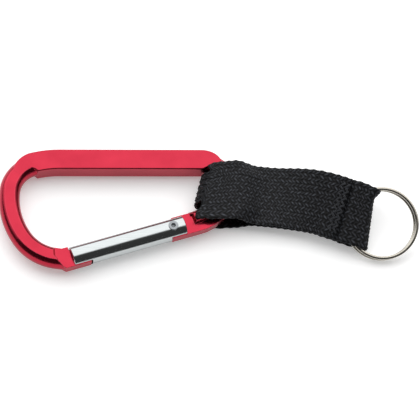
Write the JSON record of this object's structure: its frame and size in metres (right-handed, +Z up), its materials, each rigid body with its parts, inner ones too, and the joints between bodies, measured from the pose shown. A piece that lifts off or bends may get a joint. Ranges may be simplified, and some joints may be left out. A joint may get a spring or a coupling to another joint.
{
  "type": "carabiner keyring",
  "caption": "Pressed aluminium snap hook with a sprung tube gate, a short sewn webbing strap on its small end and a split ring for keys.",
  "frame": {"origin": "middle of the whole object's box, on the surface that it lies on", "axes": "+X from the hook's big bend to the key ring, +Y from the gate to the spine, +Z up, square to the pressed faces"},
  "size_m": [0.1413, 0.043, 0.0131],
  "materials": {
    "red_anodised": "polished, red anodised",
    "bright_aluminium": "polished",
    "rivet_metal": "satin",
    "plunger_brass": "turned",
    "spring_steel": "drawn wire",
    "black_webbing": "coarse plain weave",
    "black_thread": "twisted thread",
    "nickel_plate": "bright nickel plate"
  },
  "bodies": {
    "hook": {"carabiner_body": "red_anodised"},
    "gate": {"gate_sleeve": "bright_aluminium", "hinge_rivet": "rivet_metal", "gate_spring": "spring_steel"},
    "plunger": {"gate_plunger": "plunger_brass"},
    "strap_loop": {"webbing_bar_loop": "black_webbing"},
    "strap_near": {"webbing_panel_near": "black_webbing"},
    "strap_far": {"webbing_panel_far": "black_webbing"},
    "strap_end": {"webbing_sewn_end": "black_webbing", "stitch_row_inner": "black_thread", "stitch_row_outer": "black_thread"},
    "ring": {"split_ring": "nickel_plate"}
  },
  "joints": [
    {"name": "gate_hinge", "type": "hinge", "parent": "hook", "child": "gate", "pos_m": [-0.01307, -0.00697, 0.00472], "axis": [0, 0, -1], "range_deg": [0, 42], "stiffness_Nm_per_rad": 0.1, "springref_deg": -22.92},
    {"name": "plunger_slide", "type": "slide", "parent": "gate", "child": "plunger", "axis": [-0.9578, -0.2874, 0], "range_m": [0, 0.00065], "deforming": ["gate_spring"]},
    {"name": "loop_slide", "type": "slide", "parent": "hook", "child": "strap_loop", "axis": [0.9945, -0.1045, 0], "range_m": [-0.002, 0]},
    {"name": "strap_bend", "type": "hinge", "parent": "strap_loop", "child": "strap_near", "pos_m": [0.02019, 0.00512, 0.00472], "axis": [0.1045, 0.9945, 0], "range_deg": [-85, 85]},
    {"name": "strap_twist", "type": "hinge", "parent": "strap_near", "child": "strap_far", "pos_m": [0.03006, 0.00353, 0.00632], "axis": [0.977, -0.2133, 0], "range_deg": [-45, 45]},
    {"name": "strap_end_bend", "type": "hinge", "parent": "strap_far", "child": "strap_end", "pos_m": [0.03874, 0.00117, 0.00767], "axis": [0.3088, 0.8968, 0.3169], "range_deg": [-80, 80]},
    {"name": "ring_spin", "type": "hinge", "parent": "strap_end", "child": "ring", "pos_m": [0.05825, -0.00493, 0.00594], "axis": [-0.0509, -0.3171, 0.947], "continuous": true}
  ],
  "couplings": [
    {"joint": "plunger_slide", "follows": "gate_hinge", "m_per_rad": 0.00085}
  ]
}
